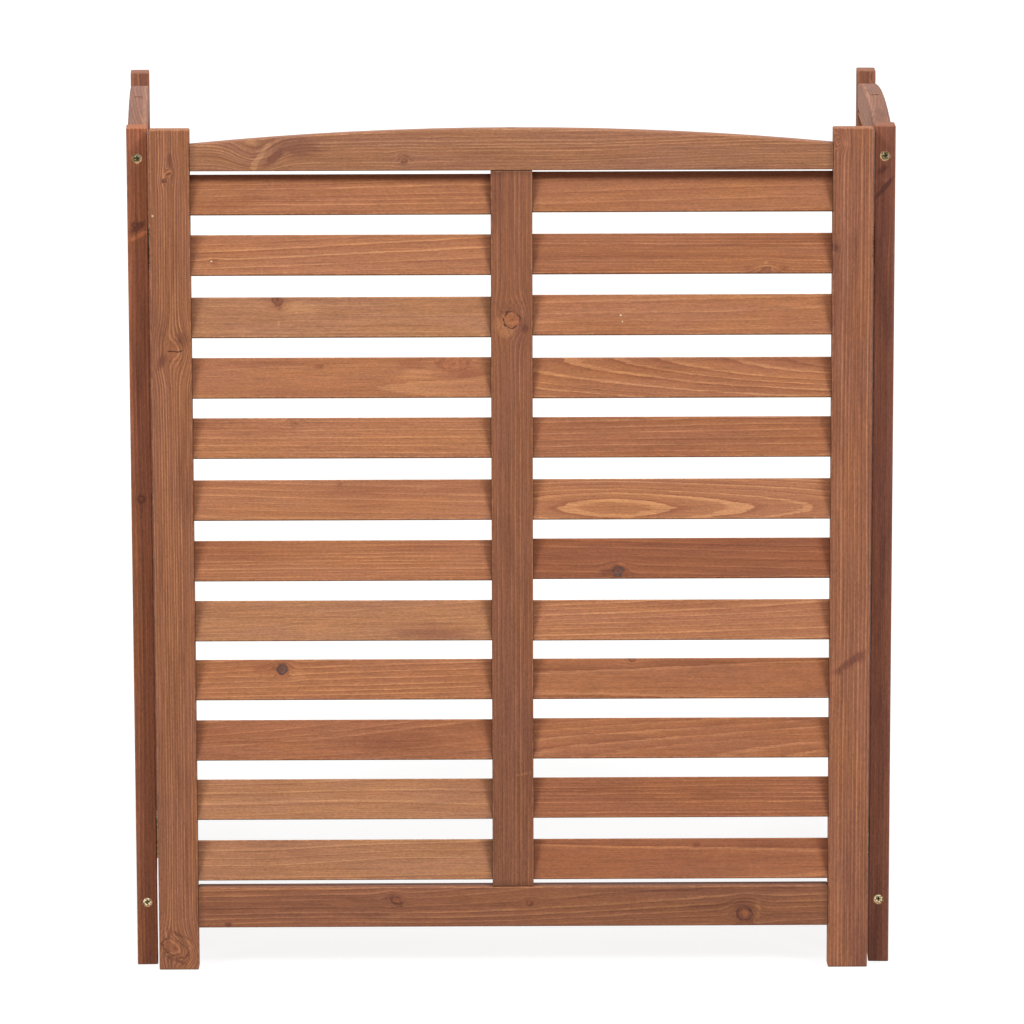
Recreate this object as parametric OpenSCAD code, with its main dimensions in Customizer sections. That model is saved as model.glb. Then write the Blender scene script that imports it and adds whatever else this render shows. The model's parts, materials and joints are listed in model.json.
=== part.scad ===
// Folding louvred wooden screen that hides an outdoor air conditioner. Three equal framed
// panels stand as a front and two wings, hinged at the two front corners.
// Frame: the origin is on the ground under the middle of the footprint. +X is to the right
// of someone who faces the front panel, +Y points to the back, and +Z up.

/* [Panels] */
// Width of each panel, over its two stiles
panel_w = 900; // [600:5:1100]
// Height of each panel, from the ground to the top of its stiles
panel_h = 1070; // [900:5:1250]
// Width of each stile, seen from the front
stile_w = 50; // [46:1:70]
// Thickness of the stiles, which is the thickness of a panel
stile_t = 26; // [24:0.5:34]
// Thickness of the rails and the mullion, centred in the thickness of the stiles
rail_t = 24; // [20:0.5:26]
// Radius of the sanded edges of the stiles, rails and mullion
edge_ease = 2; // [1:0.25:3]

/* [Rails and mullion] */
// Height of the top rail at its crown
top_rail_h = 52; // [48:1:80]
// How much lower the arched top rail is at its ends than at its crown
arch_drop = 19; // [8:1:22]
// Height of the bottom rail
bottom_rail_h = 52; // [40:1:80]
// Clear height under the bottom rail, which is the length of the feet
foot_h = 54.5; // [30:0.5:90]
// Width of the centre mullion
mullion_w = 52; // [44:1:70]

/* [Louvres] */
// Number of louvres in each of the two bays of a panel
louvre_count = 12; // [8:1:13]
// Width of the louvre board, along its slope
louvre_w = 51; // [40:1:56]
// Thickness of the louvre board
louvre_t = 7; // [6:0.5:9]
// Radius of the long edges of the louvre board
louvre_ease = 1.2; // [1:0.1:2.4]
// Lean of the louvres from upright, top to the back
louvre_lean = 18; // [10:1:20]
// Gap between the top rail and the highest louvre
top_gap = 4; // [2:0.5:12]
// Gap between the lowest louvre and the bottom rail
bottom_gap = 8; // [2:0.5:16]
// Depth of the slanted stopped dado that holds each end of a louvre
dado_depth = 8; // [5:0.5:10]
// Clearance round a louvre in its dado
dado_fit = 0.15; // [0.1:0.05:0.3]

/* [Frame screws] */
// Length of the screws that hold the rails and the mullion
frame_screw_len = 80; // [72:1:100]
// Diameter of their shank
frame_screw_d = 5; // [4:0.5:6]
// Diameter of their countersunk head
frame_head_d = 10; // [8:0.5:11]
// Diameter of the shallow counterbore over each head
counterbore_d = 12.5; // [11.5:0.5:15]
// Depth of that counterbore
counterbore_depth = 3; // [0.5:0.25:4]
// Height of the upper stile screws over the lower edge of the top rail
top_screw_rise = 14; // [12:1:18]
// Height of the lower stile screws over the lower edge of the bottom rail
bottom_screw_rise = 27; // [14:1:28]

/* [Hinges] */
// Length of each hinge along its pin
hinge_len = 50; // [40:1:70]
// Number of knuckles of a hinge, an odd number
knuckle_count = 5; // [3:2:7]
// Radius of the knuckles
knuckle_r = 2.5; // [2.3:0.1:5]
// Gap along the pin between two knuckles
knuckle_gap = 0.3; // [0.2:0.05:0.6]
// Radius of the hinge pin
pin_r = 1.25; // [1:0.05:1.8]
// Running clearance of the pin in the knuckles
pin_fit = 0.05; // [0.03:0.01:0.1]
// Thickness of the hinge leaf
leaf_t = 1.5; // [1:0.1:2]
// Width of the hinge leaf, from the pin axis to its far edge
leaf_w = 20; // [18:0.5:28]
// Radius of the outer corners of the leaf
leaf_corner_r = 3; // [1:0.5:5]
// Gap between the edges of two panels that stand in line
edge_gap = 1.5; // [1:0.5:8]
// Height of the middle of the lower hinges over the ground
lower_hinge_z = 165; // [120:5:250]
// Distance of the middle of the upper hinges below the top of the stiles
upper_hinge_drop = 151; // [100:1:250]

/* [Hinge screws] */
// Length of the screws that hold the hinge leaves
hinge_screw_len = 18; // [12:1:20]
// Diameter of their shank
hinge_screw_d = 3; // [2.5:0.5:4]
// Diameter of their countersunk head
hinge_head_d = 6; // [5:0.5:7]
// Distance of these screws from the pin axis
hinge_screw_reach = 12; // [9:0.5:14]
// Distance between the two screws of a leaf
hinge_screw_span = 30; // [20:1:34]

/* [Screw fit] */
// Clearance round the shank and under the head of every screw
screw_fit = 0.08; // [0.05:0.01:0.2]

/* [Pose] */
// Angle between the front panel and the left wing as it stands
left_angle = 93.2; // [90:0.1:120]
// Angle between the front panel and the right wing as it stands
right_angle = 92.6; // [90:0.1:120]

/* [Hidden] */
$fn = 48;
bays = ["left", "right"];
rows = [for (k = [1:louvre_count]) str(k < 10 ? "0" : "", k)];
PANEL_PIECES = ["top_rail", "bottom_rail", "mullion", "frame_screws"];
WING_PIECES = ["front_stile", "rear_stile", "front_louvres", "rear_louvres"];
HINGE_PIECES = ["front_leaves", "wing_leaves", "pins", "front_screws", "wing_screws"];

// Cutting tools run past the faces that they open by this much
over = 1;

// Heights of the frame
top_rail_z = panel_h - top_rail_h;
bottom_rail_top = foot_h + bottom_rail_h;
opening_h = top_rail_z - bottom_rail_top;
rail_len = panel_w - 2 * stile_w;
rail_y = (stile_t - rail_t) / 2;
bay_w = (rail_len - mullion_w) / 2;
bay_x = (mullion_w + bay_w) / 2;

// The arch is a circle through the crown and the two ends of the top rail
arch_r = (pow(rail_len / 2, 2) + pow(arch_drop, 2)) / (2 * arch_drop);

// How far each louvre sits above its even place, from the top one down, as the old boards stand
left_bay_rises = [-1.5, 0, -1, 0, 1, -0.5, -0.5, 0, 1.5, 1, 1.5, 0];
right_bay_rises = [1, 0.5, 1, -1, 1, -0.5, 1, -0.5, 1.5, 2, 2.5, 0];

// The louvres share the height between the rails evenly, but for those rises
louvre_rise = (louvre_w - 2 * louvre_ease) * cos(louvre_lean)
    + (louvre_t - 2 * louvre_ease) * sin(louvre_lean) + 2 * louvre_ease;
louvre_first_z = top_rail_z - top_gap - louvre_rise / 2;
louvre_last_z = bottom_rail_top + bottom_gap + louvre_rise / 2;
louvre_pitch = (louvre_first_z - louvre_last_z) / (louvre_count - 1);
louvre_len = bay_w + 2 * (dado_depth - dado_fit);
dado_len = bay_w + 2 * dado_depth;
function rise(rises, row) = row < len(rises) ? rises[row] : 0;

// Height of the middle of a louvre. side is -1 for the left bay and 1 for the right bay, and
// row counts from 0 at the top.
function louvre_z(side, row) = louvre_first_z - row * louvre_pitch
    + rise(side < 0 ? left_bay_rises : right_bay_rises, row);

// A head is as deep as its 90 degree cone
frame_head_h = (frame_head_d - frame_screw_d) / 2;
hinge_head_h = (hinge_head_d - hinge_screw_d) / 2;
top_screw_z = top_rail_z + top_screw_rise;
bottom_screw_z = foot_h + bottom_screw_rise;

// The pin stands behind the corner of the front panel, half the edge gap outside it
axis_x = panel_w / 2 + edge_gap / 2;
axis_y = stile_t + knuckle_r;
knuckle_len = (hinge_len - (knuckle_count - 1) * knuckle_gap) / knuckle_count;
knuckle_pitch = knuckle_len + knuckle_gap;
pin_head_h = 1;
hinge_z = [lower_hinge_z, panel_h - upper_hinge_drop];

// How far the far end of a wing reaches outwards and backwards at its angle
wing_end = edge_gap / 2 + panel_w;
function reach_x(angle) = axis_x - wing_end * cos(angle) + axis_y * sin(angle);
function reach_y(angle) = axis_y + wing_end * sin(angle) + knuckle_r * cos(angle);
front_x = (reach_x(left_angle) - reach_x(right_angle)) / 2;
front_y = -max(reach_y(left_angle), reach_y(right_angle)) / 2;

// Shapes that repeat

// Rectangle with round corners, its lower left corner at the origin
module rounded_rect(w, h, r) {
    translate([r, 0]) square([w - 2 * r, h]);
    translate([0, r]) square([w, h - 2 * r]);
    for (x = [r, w - r], y = [r, h - r]) translate([x, y]) circle(r);
}

// Planed bar with all its edges sanded round
module eased_bar(size, r) {
    intersection() {
        linear_extrude(size[2]) rounded_rect(size[0], size[1], r);
        translate([0, size[1], 0]) rotate([90, 0, 0])
            linear_extrude(size[1]) rounded_rect(size[0], size[2], r);
        rotate([90, 0, 90]) linear_extrude(size[0]) rounded_rect(size[1], size[2], r);
    }
}

// Louvre board of a given length along X, or the dado for it with a clearance all round
module louvre_board(length, fit = 0) {
    w = louvre_t + 2 * fit;
    h = louvre_w + 2 * fit;
    translate([0, stile_t / 2, 0]) rotate([-louvre_lean, 0, 0]) rotate([90, 0, 90])
        linear_extrude(length, center = true) translate([-w / 2, -h / 2])
            rounded_rect(w, h, louvre_ease + fit);
}

// All the boards of a bay or the dados for them, one below the other
module louvre_rows(side, length, fit = 0) {
    for (row = [0:louvre_count - 1]) translate([side * bay_x, 0, louvre_z(side, row)])
        louvre_board(length, fit);
}

// Cross recess of a screw head, narrower at its floor
module cross_recess(head_d, depth) {
    slot_w = 0.17 * head_d;
    slot_l = 0.62 * head_d;
    intersection() {
        translate([0, 0, -over]) cylinder(h = depth + over, d1 = slot_l + over, d2 = 2 * slot_w);
        for (turn = [0, 90]) rotate([0, 0, turn])
            translate([-slot_l / 2, -slot_w / 2, -over]) cube([slot_l, slot_w, depth + over]);
    }
}

// Countersunk screw that points along +Z, with the flat of its head at the origin
module wood_screw(length, shank_d, head_d) {
    head_h = (head_d - shank_d) / 2;
    tip_h = shank_d;
    difference() {
        union() {
            cylinder(h = head_h, d1 = head_d, d2 = shank_d);
            cylinder(h = length - tip_h, d = shank_d);
            translate([0, 0, length - tip_h]) cylinder(h = tip_h, d1 = shank_d, d2 = shank_d / 5);
        }
        cross_recess(head_d, head_h);
    }
}

// Room for such a screw, with a clearance all round
module screw_bore(length, shank_d, head_d) {
    head_h = (head_d - shank_d) / 2;
    cylinder(h = head_h, d1 = head_d + 2 * screw_fit, d2 = shank_d + 2 * screw_fit);
    cylinder(h = length + over, d = shank_d + 2 * screw_fit);
}

// Pieces of a panel, in the panel's own frame: the middle of its outer face is at x = 0
// and y = 0, and its inner face at y = stile_t

// Places its children where the six frame screws enter a panel
module at_frame_screws() {
    for (side = [-1, 1], z = [bottom_screw_z, top_screw_z])
        translate([side * panel_w / 2, stile_t / 2, z]) rotate([0, -side * 90, 0]) children();
    translate([0, stile_t / 2, foot_h]) children();
    translate([0, stile_t / 2, panel_h]) rotate([180, 0, 0]) children();
}

module frame_screw_bores() {
    at_frame_screws() {
        translate([0, 0, -over]) cylinder(h = counterbore_depth + over, d = counterbore_d);
        translate([0, 0, counterbore_depth])
            screw_bore(frame_screw_len, frame_screw_d, frame_head_d);
    }
}

module frame_screws() {
    color("darkkhaki") at_frame_screws() translate([0, 0, counterbore_depth])
        wood_screw(frame_screw_len, frame_screw_d, frame_head_d);
}

// Upright board at the edge of a panel. side is -1 for the left one and 1 for the right one,
// and a hinged one is bored for the screws of its hinge leaves.
module stile(side, hinged) {
    color("sienna") difference() {
        translate([side > 0 ? panel_w / 2 - stile_w : -panel_w / 2, 0, 0])
            eased_bar([stile_w, stile_t, panel_h], edge_ease);
        louvre_rows(side, dado_len, dado_fit);
        frame_screw_bores();
        if (hinged) at_leaf_screws(side) screw_bore(hinge_screw_len, hinge_screw_d, hinge_head_d);
    }
}

// Top rail with its arch, the rounded edge following the arch
module top_rail() {
    color("chocolate") difference() {
        translate([0, rail_y, 0]) intersection() {
            translate([-rail_len / 2, 0, top_rail_z])
                eased_bar([rail_len, rail_t, top_rail_h + arch_drop], edge_ease);
            translate([0, rail_t, panel_h - arch_r]) rotate([90, 0, 0])
                rotate_extrude($fn = 1440) arch_section();
        }
        frame_screw_bores();
    }
}

// Half section of the great disc whose rim is the arch
module arch_section() {
    square([arch_r - edge_ease, rail_t]);
    translate([0, edge_ease]) square([arch_r, rail_t - 2 * edge_ease]);
    for (y = [edge_ease, rail_t - edge_ease]) translate([arch_r - edge_ease, y]) circle(edge_ease);
}

module bottom_rail() {
    color("chocolate") difference() {
        translate([-rail_len / 2, rail_y, foot_h])
            eased_bar([rail_len, rail_t, bottom_rail_h], edge_ease);
        frame_screw_bores();
    }
}

// Centre board between the rails, with dados in both edges
module mullion() {
    color("sienna") difference() {
        translate([-mullion_w / 2, rail_y, bottom_rail_top])
            eased_bar([mullion_w, rail_t, opening_h], edge_ease);
        for (side = [-1, 1]) louvre_rows(side, dado_len, dado_fit);
        frame_screw_bores();
    }
}

module louvre_colour() {
    color("peru") children();
}

module louvre(side, row) {
    louvre_colour() translate([side * bay_x, 0, louvre_z(side, row)]) louvre_board(louvre_len);
}

module louvre_bay(side) {
    louvre_colour() louvre_rows(side, louvre_len);
}

// Pieces of a hinge, in the frame of its pin: the pin stands on the origin along +Z, and the
// leaf of the front panel lies towards -X

module screw_heights() {
    for (z = [-1, 1]) translate([0, 0, hinge_len / 2 + z * hinge_screw_span / 2]) children();
}

// Places its children at the screws of the leaf towards -X
module at_screws_of_leaf() {
    screw_heights() translate([-hinge_screw_reach, leaf_t - knuckle_r, 0])
        rotate([90, 0, 0]) children();
}

// Leaf towards -X that carries every second knuckle, from the first one given
module hinge_leaf(first) {
    plate_end = knuckle_r + knuckle_gap;
    color("goldenrod") difference() {
        union() {
            translate([-leaf_w, leaf_t - knuckle_r, 0]) rotate([90, 0, 0])
                linear_extrude(leaf_t) leaf_outline(leaf_w - plate_end);
            for (k = [first:2:knuckle_count - 1]) translate([0, 0, k * knuckle_pitch]) {
                cylinder(h = knuckle_len, r = knuckle_r);
                translate([-plate_end - over, -knuckle_r, 0])
                    cube([plate_end + over, leaf_t, knuckle_len]);
            }
        }
        translate([0, 0, -over]) cylinder(h = hinge_len + 2 * over, r = pin_r + pin_fit);
        at_screws_of_leaf() screw_bore(hinge_screw_len, hinge_screw_d, hinge_head_d);
    }
}

// Face of a leaf: square at the knuckles and round at the outer corners
module leaf_outline(w) {
    translate([leaf_corner_r, 0]) square([w - leaf_corner_r, hinge_len]);
    translate([0, leaf_corner_r]) square([w, hinge_len - 2 * leaf_corner_r]);
    for (y = [leaf_corner_r, hinge_len - leaf_corner_r])
        translate([leaf_corner_r, y]) circle(leaf_corner_r);
}

// Pin with a flat head that rests on the top knuckle
module hinge_pin() {
    color("darkkhaki") {
        cylinder(h = hinge_len, r = pin_r);
        translate([0, 0, hinge_len]) cylinder(h = pin_head_h, r1 = knuckle_r - leaf_t / 2, r2 = pin_r);
    }
}

module leaf_screws() {
    color("darkkhaki") at_screws_of_leaf() wood_screw(hinge_screw_len, hinge_screw_d, hinge_head_d);
}

// Stations

// Places its children at both hinges of a corner, in the frame of the pin
module at_hinges() {
    for (z = hinge_z) translate([0, 0, z - hinge_len / 2]) children();
}

// Places its children at the leaf screws of a stile, in the frame of a panel. side is -1 for
// the left stile and 1 for the right one.
module at_leaf_screws(side) {
    mirror([side > 0 ? 0 : 1, 0, 0]) translate([axis_x, axis_y, 0])
        at_hinges() at_screws_of_leaf() children();
}

module at_front() {
    translate([front_x, front_y, 0]) children();
}

// Frame of the pins of a corner. The left corner is the mirror image of the right one.
module at_corner(side) {
    at_front() mirror([side == "left" ? 1 : 0, 0, 0]) translate([axis_x, axis_y, 0]) children();
}

// Frame of the pins, turned with the wing and mirrored, so that a leaf towards -X lies on it
module at_wing_leaf(side) {
    angle = side == "left" ? left_angle : right_angle;
    at_corner(side) rotate([0, 0, 180 - angle]) mirror([1, 0, 0]) children();
}

// Frame of a wing panel. Its hinged stile is the one at x = panel_w / 2.
module at_wing(side) {
    at_wing_leaf(side) translate([-axis_x, -axis_y, 0]) children();
}

module panel_piece(piece) {
    if (piece == "top_rail") top_rail();
    if (piece == "bottom_rail") bottom_rail();
    if (piece == "mullion") mullion();
    if (piece == "frame_screws") frame_screws();
}

module wing_piece(piece) {
    if (piece == "front_stile") stile(1, true);
    if (piece == "rear_stile") stile(-1, false);
    if (piece == "front_louvres") louvre_bay(1);
    if (piece == "rear_louvres") louvre_bay(-1);
    panel_piece(piece);
}

module hinge_piece(side, piece) {
    if (piece == "front_leaves") at_corner(side) at_hinges() hinge_leaf(0);
    if (piece == "wing_leaves") at_wing_leaf(side) at_hinges() hinge_leaf(1);
    if (piece == "pins") at_corner(side) at_hinges() hinge_pin();
    if (piece == "front_screws") at_corner(side) at_hinges() leaf_screws();
    if (piece == "wing_screws") at_wing_leaf(side) at_hinges() leaf_screws();
}

at_front() stile(-1, true);  // front_left_stile
at_front() stile(1, true);  // front_right_stile
for (piece = PANEL_PIECES)
    at_front() panel_piece(piece);
for (bay = bays, k = [0:louvre_count - 1])
    at_front() louvre(bay == "left" ? -1 : 1, k);
for (side = bays, piece = concat(WING_PIECES, PANEL_PIECES))
    at_wing(side) wing_piece(piece);
for (side = bays, piece = HINGE_PIECES)
    hinge_piece(side, piece);
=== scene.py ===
"""Looks of a folding louvred wooden screen that hides an outdoor air conditioner.

Three framed panels of stained softwood stand as a front and two wings. Every board gets its
own grain, knots and tone, cut in the shader from a log of growth rings, and the screws and
hinges get a yellow zinc plating.
"""
import json
import logging
import math
from dataclasses import dataclass, fields
from enum import Enum
from functools import partialmethod
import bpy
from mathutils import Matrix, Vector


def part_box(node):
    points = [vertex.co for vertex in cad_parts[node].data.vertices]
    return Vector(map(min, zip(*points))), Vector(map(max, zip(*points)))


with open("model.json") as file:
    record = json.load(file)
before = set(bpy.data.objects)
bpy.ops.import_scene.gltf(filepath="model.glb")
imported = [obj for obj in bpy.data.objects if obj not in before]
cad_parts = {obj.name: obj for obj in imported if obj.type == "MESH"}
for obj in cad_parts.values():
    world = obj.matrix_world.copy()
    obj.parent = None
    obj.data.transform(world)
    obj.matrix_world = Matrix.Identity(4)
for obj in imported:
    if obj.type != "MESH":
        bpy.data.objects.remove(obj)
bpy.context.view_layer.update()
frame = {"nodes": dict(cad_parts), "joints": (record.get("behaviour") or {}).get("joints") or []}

from types import SimpleNamespace
from typing import Optional, Sequence, Union

import bpy
from bpy.types import Material, Node, NodeSocket, NodeTree, World
from mathutils import Matrix, Vector

LOG = logging.getLogger("screen")
MM = 0.001
FAR_RIDGE = -3000.0
NO_JOINT = -10.0
WOOD_SPECULAR = 0.36
METAL_SPECULAR = 0.5

# In a bay of louvres, how far apart the seeds are, and the spans of the pith's place and of its drift
ROW_SEEDS, ROW_SPANS = 3.7, ((-120.0, 120.0), (-95.0, -32.0), (-0.06, 0.06))
# The upper frame screws are darker than the lower ones: heights over the middle, in mm, and how much
DARKEN_FROM, DARKEN_TO, DARKEN_BY = -100.0, 300.0, 0.55
# Depths of the cross recess under the face of a screw's head, in mm, where painted shade darkens the
# plating
RECESS_EDGE, RECESS_START, RECESS_END, RECESS_FLOOR = 0.35, 0.9, 2.5, 3.5

# Sizes of noise cells along, across and through a board, in mm
FIBRE_CELL = (44, 1.3, 1.3)
PORE_CELL = (12, 0.8, 0.8)
HAIR_CELL = (90, 1.6, 1.6)
STREAK_CELL = (260, 4.4, 4.4)
SPECK_CELL = (4.0, 1.7, 1.7)
CLOUD_CELL = (170, 24, 24)
MOTTLE_CELL = (4.5, 4.5, 4.5)
CHIP_CELL = (9, 3.5, 3.5)
WANDER_CELL = (430, 70, 70)
RAGGED_CELL = (34, 4, 4)
BROKEN_CELL = (60, 60, 60)


def srgb(*levels: int) -> tuple[float, ...]:
    """Colour in linear light, with an alpha of 1, of display values from 0 to 255."""
    shares = (level / 255 for level in levels)
    return *(s / 12.92 if s <= 0.04045 else ((s + 0.055) / 1.055) ** 2.4 for s in shares), 1.0


class Signal:
    """Output of a shader node, which can be added to, multiplied and so on."""

    def __init__(self, sketch: "ShaderSketch", socket: NodeSocket) -> None:
        """Wraps a socket of the sketch's tree."""
        self.sketch = sketch
        self.socket = socket

    def combine(self, operation: str, other: "Value") -> "Signal":
        """Result of a Math node with another value."""
        return self.sketch.math(operation, self, other)

    __add__ = partialmethod(combine, "ADD")
    __sub__ = partialmethod(combine, "SUBTRACT")
    __mul__ = partialmethod(combine, "MULTIPLY")
    __truediv__ = partialmethod(combine, "DIVIDE")
    at_least = partialmethod(combine, "MAXIMUM")

    def __rsub__(self, other: float) -> "Signal":
        """Difference from a number."""
        return self.sketch.math("SUBTRACT", other, self)

    def __abs__(self) -> "Signal":
        """Absolute value."""
        return self.sketch.math("ABSOLUTE", self)


Value = Union[Signal, NodeSocket, float, Sequence[float]]


class ShaderSketch:
    """Adds and links the nodes of one shader tree."""

    def __init__(self, tree: NodeTree) -> None:
        """Works on the given tree."""
        self.tree = tree

    def node(self, kind: str, **settings: object) -> Node:
        """Adds a node of a kind, named without the ShaderNode prefix, and sets its properties."""
        made = self.tree.nodes.new("ShaderNode" + kind)
        for name, value in settings.items():
            setattr(made, name, value)
        return made

    def feed(self, socket: NodeSocket, value: Value) -> None:
        """Links a socket to a signal or to another socket, or sets its value."""
        source = value.socket if isinstance(value, Signal) else value
        if isinstance(source, NodeSocket):
            self.tree.links.new(source, socket)
        else:
            socket.default_value = source

    def run(self, made: Node, values: Sequence[Value], output: Union[int, str] = 0) -> Signal:
        """Feeds the first inputs of a node and gives one of its outputs."""
        for socket, value in zip(made.inputs, values):
            self.feed(socket, value)
        return Signal(self, made.outputs[output])

    def math(self, operation: str, *values: Value, clamp: bool = False) -> Signal:
        """Result of a Math node."""
        return self.run(self.node("Math", operation=operation, use_clamp=clamp), values)

    def vector(self, operation: str, *values: Value) -> Signal:
        """Result of a Vector Math node."""
        return self.run(self.node("VectorMath", operation=operation), values)

    def length(self, first: Value, second: Value) -> Signal:
        """Length of a vector with two parts."""
        flat = self.join(first, second, 0.0)
        return self.run(self.node("VectorMath", operation="LENGTH"), [flat], "Value")

    def join(self, x: Value, y: Value, z: Value) -> Signal:
        """A vector of three parts."""
        return self.run(self.node("CombineXYZ"), (x, y, z))

    def all_of(self, value: Value) -> Signal:
        """A vector whose three parts are the same."""
        return self.join(value, value, value)

    def split(self, vector: Signal) -> tuple[Signal, Signal, Signal]:
        """The three parts of a vector."""
        made = self.node("SeparateXYZ")
        self.feed(made.inputs[0], vector)
        return tuple(Signal(self, part) for part in made.outputs)

    def swap(self, vector: Signal) -> Signal:
        """The vector with its second and third parts swapped."""
        first, second, third = self.split(vector)
        return self.join(first, third, second)

    def step(self, value: Value, start: Value, end: Value, low: Value = 0.0, high: Value = 1.0) -> Signal:
        """A smooth step from low to high as the value goes from start to end."""
        made = self.node("MapRange", interpolation_type="SMOOTHSTEP")
        return self.run(made, (value, start, end, low, high), "Result")

    def noise(self, vector: Signal, cell: Sequence[float], detail: float = 2.0,
              roughness: float = 0.5) -> tuple[Signal, Signal]:
        """Noise whose cells have a given size.

        Args:
            vector: Place in millimetres.
            cell: Size of a cell along, across and through the board, in millimetres.
            detail: Octaves of finer noise.
            roughness: Strength of the finer octaves.

        Returns:
            The noise value and the noise colour, about 0.5 in the middle.
        """
        made = self.node("TexNoise", noise_dimensions="3D")
        self.feed(made.inputs["Vector"], self.vector("DIVIDE", vector, tuple(cell)))
        for name, value in (("Scale", 1.0), ("Detail", detail), ("Roughness", roughness)):
            made.inputs[name].default_value = value
        return Signal(self, made.outputs[0]), Signal(self, made.outputs[1])

    def random(self, value: Value) -> tuple[Signal, Signal]:
        """A random value and colour for each number."""
        made = self.node("TexWhiteNoise", noise_dimensions="1D")
        self.feed(made.inputs["W"], value)
        return Signal(self, made.outputs["Value"]), Signal(self, made.outputs["Color"])

    def blend(self, factor: Value, first: Value, second: Value, mode: str = "MIX") -> Signal:
        """Mix of two colours."""
        made = self.node("Mix", data_type="RGBA", blend_type=mode)
        for index, value in ((0, factor), (6, first), (7, second)):
            self.feed(made.inputs[index], value)
        return Signal(self, made.outputs[2])

    def group(self, tree: NodeTree, **values: Value) -> dict[str, Signal]:
        """Places a node group, fed by name with underscores for spaces, and gives its outputs by name."""
        made = self.node("Group", node_tree=tree)
        for name, value in values.items():
            self.feed(made.inputs[name.replace("_", " ")], value)
        return {socket.name: Signal(self, socket) for socket in made.outputs}

    def show(self, kind: str, surface: Value) -> None:
        """Adds the output node of the tree and feeds its surface."""
        self.feed(self.node(kind).inputs["Surface"], surface)


def sketch_on(owner: Union[Material, World]) -> ShaderSketch:
    """Empties the shader tree of a material or a world."""
    owner.use_nodes = True
    owner.node_tree.nodes.clear()
    return ShaderSketch(owner.node_tree)


class GroupSketch(ShaderSketch):
    """A shader node group with named inputs and outputs."""

    KINDS = {"vector": "NodeSocketVector", "": "NodeSocketFloat", "colour": "NodeSocketColor"}

    def __init__(self, name: str, inputs: str, outputs: str) -> None:
        """Makes the group and its sockets.

        Args:
            name: Name of the group.
            inputs: Names of the inputs, each with its kind after a colon if it isn't a number, and
                with an underscore for each space.
            outputs: Names of the outputs, written as the inputs are.
        """
        super().__init__(bpy.data.node_groups.new(name, "ShaderNodeTree"))
        for side, sockets in (("INPUT", inputs), ("OUTPUT", outputs)):
            for word in sockets.split():
                socket, _, kind = word.replace("_", " ").partition(":")
                self.tree.interface.new_socket(name=socket, in_out=side, socket_type=self.KINDS[kind])
        entry = self.tree.nodes.new("NodeGroupInput")
        named = {socket.name.lower().replace(" ", "_"): Signal(self, socket) for socket in entry.outputs}
        self.given = SimpleNamespace(**named)
        self.result = self.tree.nodes.new("NodeGroupOutput").inputs

    def give(self, **values: Value) -> NodeTree:
        """Feeds the outputs of the group and returns the group."""
        for name, value in values.items():
            self.feed(self.result[name], value)
        return self.tree


class Cut(Enum):
    """How a board was sawn from its log: place of the pith across and below its face, in mm."""

    QUARTER = (150.0, -24.0)
    RIFT = (88.0, -70.0)
    FLAT = (0.0, -50.0)


@dataclass(frozen=True)
class Tone:
    """Colours of one stained board.

    Attributes:
        body: Colour of the soft early wood.
        line: Colour of the thin late wood lines, which take less stain.
        deep: Colour of the stain where it gathers.
    """

    body: tuple[float, ...]
    line: tuple[float, ...]
    deep: tuple[float, ...]


POST_BROWN = Tone(srgb(154, 97, 67), srgb(186, 126, 88), srgb(128, 76, 54))
POST_WARM = Tone(srgb(156, 99, 71), srgb(189, 127, 91), srgb(130, 78, 58))
MULLION_BROWN = Tone(srgb(146, 92, 66), srgb(184, 122, 84), srgb(118, 70, 53))
RAIL_TOP = Tone(srgb(170, 115, 84), srgb(210, 151, 109), srgb(141, 89, 67))
RAIL_LOW = Tone(srgb(149, 94, 66), srgb(184, 125, 86), srgb(116, 69, 49))
POST_ROSE = Tone(srgb(140, 92, 73), srgb(175, 118, 92), srgb(115, 70, 57))
# The wing rails' colours are a darker copy of the rail colours, standing in for less light on their top
# faces: painted shade; their pale line colour also makes the painted sheen along their inner sides
WING_RAIL = Tone(srgb(134, 86, 64), srgb(204, 146, 118), srgb(112, 68, 52))
EDGE_LEFT = Tone(srgb(151, 91, 63), srgb(196, 120, 80), srgb(112, 64, 47))
EDGE_RIGHT = Tone(srgb(136, 83, 63), srgb(164, 106, 80), srgb(100, 57, 46))
STRAW = Tone(srgb(176, 121, 85), srgb(208, 150, 104), srgb(154, 100, 71))
FAWN = Tone(srgb(171, 117, 82), srgb(203, 146, 102), srgb(148, 95, 68))
HONEY = Tone(srgb(176, 115, 78), srgb(208, 145, 98), srgb(156, 95, 64))
AMBER = Tone(srgb(171, 110, 73), srgb(203, 139, 93), srgb(150, 89, 58))
RUSSET = Tone(srgb(164, 103, 68), srgb(194, 130, 87), srgb(142, 83, 53))
CHESTNUT = Tone(srgb(155, 94, 61), srgb(186, 121, 78), srgb(132, 75, 48))
UMBER = Tone(srgb(149, 88, 57), srgb(176, 112, 72), srgb(124, 69, 44))
BARE_WOOD = srgb(236, 202, 150)
FILLER = srgb(232, 208, 170)
KNOT_LIGHT = srgb(178, 108, 68)
KNOT_RED = srgb(116, 60, 42)
KNOT_DARK = srgb(80, 62, 57)
KNOT_RIM = srgb(78, 40, 28)
SHADOW_LINE = srgb(48, 26, 18)
ROSY = (1.0, 0.99, 1.03, 1.0)
GOLDEN = (1.03, 1.01, 0.91, 1.0)


@dataclass(frozen=True)
class Mark:
    """A mark on the face of a board, or on its edge.

    Attributes:
        along: Place along the grain from the middle of the board, in mm.
        across: Place across the face, or across the edge, from its middle, in mm.
        radius: Radius of the mark across the board, in mm.
    """

    along: float
    across: float
    radius: float


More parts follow.
